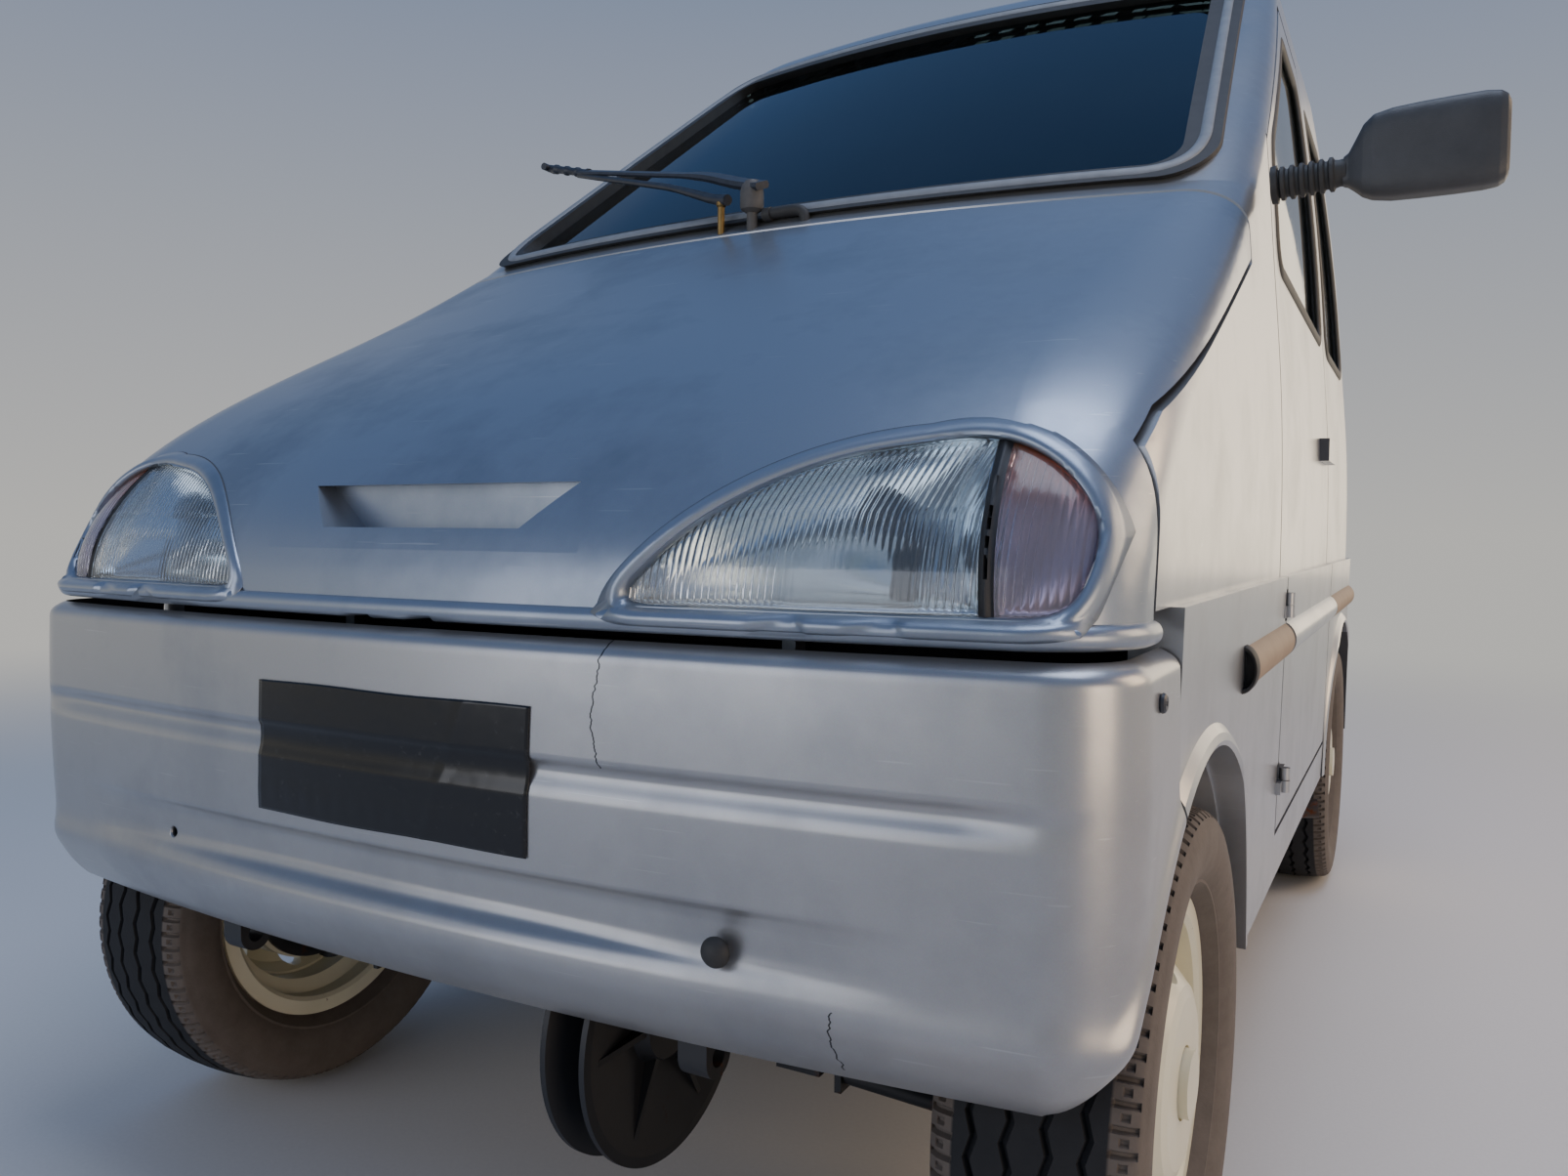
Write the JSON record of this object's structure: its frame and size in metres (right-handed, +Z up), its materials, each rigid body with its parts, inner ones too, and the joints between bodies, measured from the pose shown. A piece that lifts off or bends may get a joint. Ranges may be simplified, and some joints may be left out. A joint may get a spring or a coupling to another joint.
{
  "type": "two-seat microcar",
  "caption": "Small silver two-seat microcar with a plastic body, steep nose with half-oval lamps, wrap-round bumper, opening doors, hood and tailgate, small cream steel wheels.",
  "frame": {"origin": "on the ground, in the middle of the car, below the front axle", "axes": "-Y is forward, +X is the car's left, +Z is up"},
  "size_m": [1.3043, 2.1872, 1.5269],
  "materials": {
    "body_paint": "worn metallic lacquer over glass fibre",
    "hood_paint": "worn metallic lacquer over glass fibre, patchy behind the lamps",
    "bumper_paint": "metallic lacquer, scratched",
    "window_glass": "clear",
    "lamp_lens": "fluted clear lens",
    "indicator_lens": "pale orange lens",
    "tail_lens": "red lens",
    "seal_rubber": "matte, weathered",
    "strip_rubber": "matte",
    "chassis_steel": "black paint with rust",
    "floor_plastic": "matte",
    "dash_plastic": "matte",
    "wheel_plastic": "satin",
    "seat_fabric": "woven",
    "engine_metal": "cast, dirty",
    "pulley_metal": "cast",
    "axle_steel": "black paint with rust",
    "tyre_rubber": "dusty",
    "rim_paint": "cream paint with rust at the edge",
    "exhaust_steel": "rusty",
    "mirror_plastic": "matte",
    "wiper_steel": "matte black"
  },
  "bodies": {
    "body": {"front_body": "body_paint", "roof": "body_paint", "side_left": "body_paint", "side_right": "body_paint", "rear_panel": "body_paint", "tail_lamps": "tail_lens", "windscreen": "window_glass", "quarter_glass": "window_glass", "windscreen_seal": "seal_rubber", "front_bumper": "bumper_paint", "rear_bumper": "bumper_paint", "rub_strips": "strip_rubber", "chassis_frame": "chassis_steel", "floor_pan": "floor_plastic", "dashboard": "dash_plastic", "steering_column": "axle_steel", "seats": "seat_fabric", "engine_block": "engine_metal", "drive_pulley": "pulley_metal", "front_axle": "axle_steel", "rear_axle": "axle_steel", "exhaust": "exhaust_steel", "mirror_left": "mirror_plastic", "wiper": "wiper_steel"},
    "hood": {"hood": "hood_paint", "headlamp_left": "lamp_lens", "headlamp_right": "lamp_lens", "indicators": "indicator_lens"},
    "door_left": {"door_left": "body_paint", "door_glass_left": "window_glass"},
    "door_right": {"door_right": "body_paint", "door_glass_right": "window_glass"},
    "tailgate": {"tailgate": "body_paint", "tailgate_glass": "window_glass"},
    "steering_wheel": {"steering_wheel": "wheel_plastic"},
    "knuckle_left": {"knuckle_left": "axle_steel"},
    "knuckle_right": {"knuckle_right": "axle_steel"},
    "wheel_front_left": {"tyre_front_left": "tyre_rubber", "rim_front_left": "rim_paint"},
    "wheel_front_right": {"tyre_front_right": "tyre_rubber", "rim_front_right": "rim_paint"},
    "wheel_rear_left": {"tyre_rear_left": "tyre_rubber", "rim_rear_left": "rim_paint"},
    "wheel_rear_right": {"tyre_rear_right": "tyre_rubber", "rim_rear_right": "rim_paint"}
  },
  "joints": [
    {"name": "hood_hinge", "type": "hinge", "parent": "body", "child": "hood", "pos_m": [0, -0.25, 0.45], "axis": [1, 0, 0], "range_deg": [0, 60]},
    {"name": "door_left_hinge", "type": "hinge", "parent": "body", "child": "door_left", "pos_m": [0.552, 0.509, 0.45], "axis": [0, 0, -1], "range_deg": [0, 65]},
    {"name": "door_right_hinge", "type": "hinge", "parent": "body", "child": "door_right", "pos_m": [-0.552, 0.509, 0.45], "axis": [0, 0, 1], "range_deg": [0, 65]},
    {"name": "tailgate_hinge", "type": "hinge", "parent": "body", "child": "tailgate", "pos_m": [0, 1.742, 1.403], "axis": [1, 0, 0], "range_deg": [0, 85]},
    {"name": "steer_left", "type": "hinge", "parent": "body", "child": "knuckle_left", "pos_m": [0.43, 0, 0.216], "axis": [0, 0, 1], "range_deg": [-30, 30]},
    {"name": "steer_right", "type": "hinge", "parent": "body", "child": "knuckle_right", "pos_m": [-0.43, 0, 0.216], "axis": [0, 0, 1], "range_deg": [-30, 30]},
    {"name": "steering_wheel_turn", "type": "hinge", "parent": "body", "child": "steering_wheel", "pos_m": [0.245, 0.7, 0.905], "axis": [0, 0.848, 0.5299], "range_deg": [-360, 360]},
    {"name": "wheel_front_left_spin", "type": "hinge", "parent": "knuckle_left", "child": "wheel_front_left", "pos_m": [0.476, 0, 0.216], "axis": [1, 0, 0], "continuous": true},
    {"name": "wheel_front_right_spin", "type": "hinge", "parent": "knuckle_right", "child": "wheel_front_right", "pos_m": [-0.476, 0, 0.216], "axis": [1, 0, 0], "continuous": true},
    {"name": "wheel_rear_left_spin", "type": "hinge", "parent": "body", "child": "wheel_rear_left", "pos_m": [0.476, 1.458, 0.216], "axis": [1, 0, 0], "continuous": true},
    {"name": "wheel_rear_right_spin", "type": "hinge", "parent": "body", "child": "wheel_rear_right", "pos_m": [-0.476, 1.458, 0.216], "axis": [1, 0, 0], "continuous": true}
  ],
  "couplings": [
    {"joint": "steer_right", "follows": "steer_left", "ratio": 1},
    {"joint": "steering_wheel_turn", "follows": "steer_left", "ratio": 12}
  ]
}
